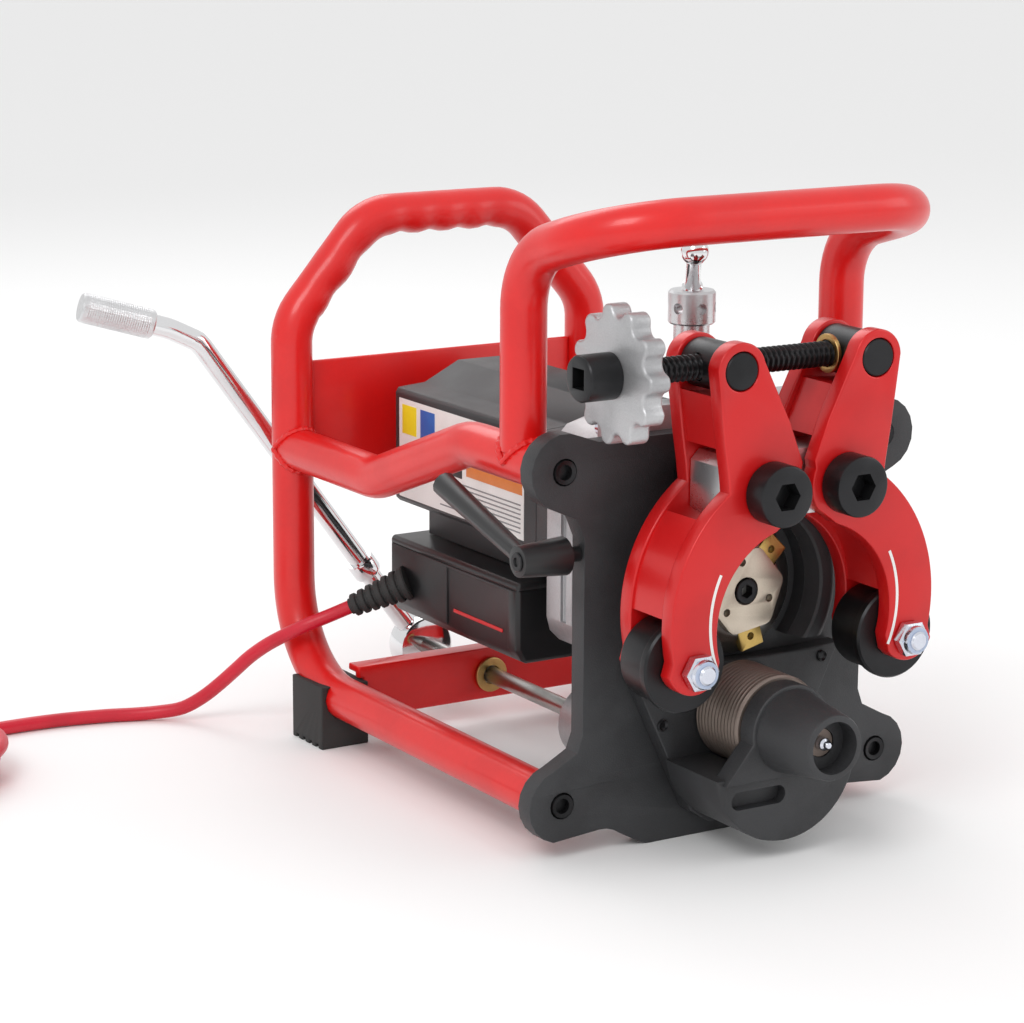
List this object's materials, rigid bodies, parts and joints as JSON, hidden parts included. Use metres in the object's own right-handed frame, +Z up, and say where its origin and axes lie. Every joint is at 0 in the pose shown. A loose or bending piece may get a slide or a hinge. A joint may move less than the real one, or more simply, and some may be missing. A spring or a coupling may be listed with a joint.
{
  "type": "pipe bevelling machine",
  "caption": "Portable pipe bevelling machine: red tube frame, motor on a slide, carbide cutter, two arm roller clamp, knurled feed roller and ratchet lever.",
  "frame": {"origin": "on the floor, under the middle of the front plate's thickness, on its flat bottom face", "axes": "+Z up, +Y from the front plate to the rear of the frame along the feed shaft, +X to the right for a person who faces the plate"},
  "size_m": [0.658, 0.5658, 0.4266],
  "materials": {
    "red_paint": "gloss powder coat",
    "red_arm_paint": "satin paint with bright cut edges",
    "dark_cast": "textured dark grey coat on cast iron",
    "black_steel": "black oxide",
    "steel": "machined",
    "aluminium": "machined satin",
    "cast_aluminium": "as cast",
    "chrome": "polished plate",
    "zinc": "bright zinc plate",
    "brass": "machined",
    "carbide": "gold coating on carbide",
    "nickel": "warm nickel plate",
    "black_plastic": "fine texture",
    "hood_plastic": "fine texture",
    "rubber": "moulded",
    "cord_jacket": "smooth red jacket"
  },
  "bodies": {
    "frame": {"rear_hoop": "red_paint", "left_rail": "red_paint", "right_rail": "red_paint", "front_handle": "red_paint", "rear_cross_plate": "red_paint", "lower_cross_plate": "red_paint", "shaft_bush": "brass", "left_foot": "rubber", "right_foot": "rubber", "front_plate": "dark_cast", "lower_left_bolt": "black_steel", "lower_right_bolt": "black_steel", "upper_left_bolt": "black_steel", "upper_right_bolt": "black_steel", "cutter_guard": "dark_cast", "slide_guide": "black_steel", "pivot_block": "aluminium", "left_pivot_bolt": "black_steel", "right_pivot_bolt": "black_steel", "left_pivot_spacer": "black_steel", "right_pivot_spacer": "black_steel", "shaft_housing": "cast_aluminium", "roller_housing": "dark_cast", "power_cord": "cord_jacket", "cord_coil": "cord_jacket", "mains_plug": "rubber"},
    "motor_unit": {"gear_case": "cast_aluminium", "motor_hood": "hood_plastic", "switch_box": "black_plastic", "strain_relief": "rubber"},
    "power_switch": {"power_switch": "black_plastic"},
    "spindle": {"spindle": "steel", "cutter_head": "steel", "cutter_hub": "nickel", "cutter_bolt": "black_steel", "spindle_gear": "steel", "cutter_insert_1": "carbide", "cutter_insert_2": "carbide", "cutter_insert_3": "carbide"},
    "armature": {"motor_armature": "steel"},
    "depth_screw": {"depth_screw": "aluminium", "depth_lever": "chrome"},
    "lock_lever": {"lock_lever": "black_plastic"},
    "feed_shaft": {"feed_shaft": "steel"},
    "feed_roller": {"feed_roller": "steel", "roller_gear": "steel", "grease_fitting": "zinc"},
    "ratchet_lever": {"ratchet_lever": "chrome", "lever_grip": "aluminium"},
    "left_arm": {"left_arm": "red_arm_paint", "left_roller_bolt": "zinc"},
    "right_arm": {"right_arm": "red_arm_paint", "right_roller_bolt": "zinc"},
    "left_roller": {"left_roller": "black_steel"},
    "right_roller": {"right_roller": "black_steel"},
    "left_trunnion": {"left_trunnion": "black_steel"},
    "right_trunnion": {"right_trunnion": "black_steel"},
    "clamp_screw": {"clamp_screw": "black_steel", "clamp_handwheel": "cast_aluminium", "thrust_collar": "brass"}
  },
  "joints": [
    {"name": "motor_slide", "type": "slide", "parent": "frame", "child": "motor_unit", "axis": [0, 0, 1], "range_m": [0, 0.006]},
    {"name": "depth_screw_spin", "type": "hinge", "parent": "frame", "child": "depth_screw", "pos_m": [0, 0.038, 0.34], "axis": [0, 0, 1], "range_deg": [0, 1080]},
    {"name": "lock_lever_turn", "type": "hinge", "parent": "frame", "child": "lock_lever", "pos_m": [-0.13, 0, 0.198], "axis": [1, 0, 0], "range_deg": [-60, 30]},
    {"name": "switch_rock", "type": "hinge", "parent": "motor_unit", "child": "power_switch", "pos_m": [0.0432, 0.208, 0.118], "axis": [0, 0, 1], "range_deg": [0, 10]},
    {"name": "armature_spin", "type": "hinge", "parent": "motor_unit", "child": "armature", "pos_m": [0, 0.163, 0.2065], "axis": [0, 1, 0], "continuous": true},
    {"name": "spindle_spin", "type": "hinge", "parent": "motor_unit", "child": "spindle", "pos_m": [0, -0.007, 0.166], "axis": [0, 1, 0], "continuous": true},
    {"name": "feed_roller_spin", "type": "hinge", "parent": "frame", "child": "feed_roller", "pos_m": [0, -0.043, 0.086], "axis": [0, 1, 0], "continuous": true},
    {"name": "feed_shaft_spin", "type": "hinge", "parent": "frame", "child": "feed_shaft", "pos_m": [0, 0.193, 0.035], "axis": [0, 1, 0], "continuous": true},
    {"name": "ratchet_swing", "type": "hinge", "parent": "frame", "child": "ratchet_lever", "pos_m": [0, 0.393, 0.035], "axis": [0, 1, 0], "range_deg": [-30, 100]},
    {"name": "right_arm_swing", "type": "hinge", "parent": "frame", "child": "right_arm", "pos_m": [0.029, -0.063, 0.246], "axis": [0, 1, 0], "range_deg": [-10, 10]},
    {"name": "left_arm_swing", "type": "hinge", "parent": "frame", "child": "left_arm", "pos_m": [-0.029, -0.063, 0.246], "axis": [0, 1, 0], "range_deg": [-10, 10]},
    {"name": "right_roller_spin", "type": "hinge", "parent": "right_arm", "child": "right_roller", "pos_m": [0.082, -0.063, 0.139], "axis": [0, 1, 0], "continuous": true},
    {"name": "left_roller_spin", "type": "hinge", "parent": "left_arm", "child": "left_roller", "pos_m": [-0.082, -0.063, 0.139], "axis": [0, 1, 0], "continuous": true},
    {"name": "right_trunnion_turn", "type": "hinge", "parent": "right_arm", "child": "right_trunnion", "pos_m": [0.052, -0.063, 0.323], "axis": [0, 1, 0], "range_deg": [-10, 10]},
    {"name": "left_trunnion_turn", "type": "hinge", "parent": "left_arm", "child": "left_trunnion", "pos_m": [-0.052, -0.063, 0.323], "axis": [0, 1, 0], "range_deg": [-10, 10]},
    {"name": "clamp_screw_spin", "type": "hinge", "parent": "right_trunnion", "child": "clamp_screw", "pos_m": [0, -0.063, 0.323], "axis": [1, 0, 0], "range_deg": [-2340, 2340]}
  ],
  "couplings": [
    {"joint": "depth_screw_spin", "follows": "motor_slide", "rad_per_m": 3141.6},
    {"joint": "spindle_spin", "follows": "armature_spin", "ratio": -0.3965},
    {"joint": "feed_shaft_spin", "follows": "feed_roller_spin", "ratio": -1.4878},
    {"joint": "left_arm_swing", "follows": "right_arm_swing", "ratio": -1},
    {"joint": "right_trunnion_turn", "follows": "right_arm_swing", "ratio": -1},
    {"joint": "left_trunnion_turn", "follows": "right_arm_swing", "ratio": 1},
    {"joint": "clamp_screw_spin", "follows": "right_arm_swing", "ratio": 234}
  ]
}
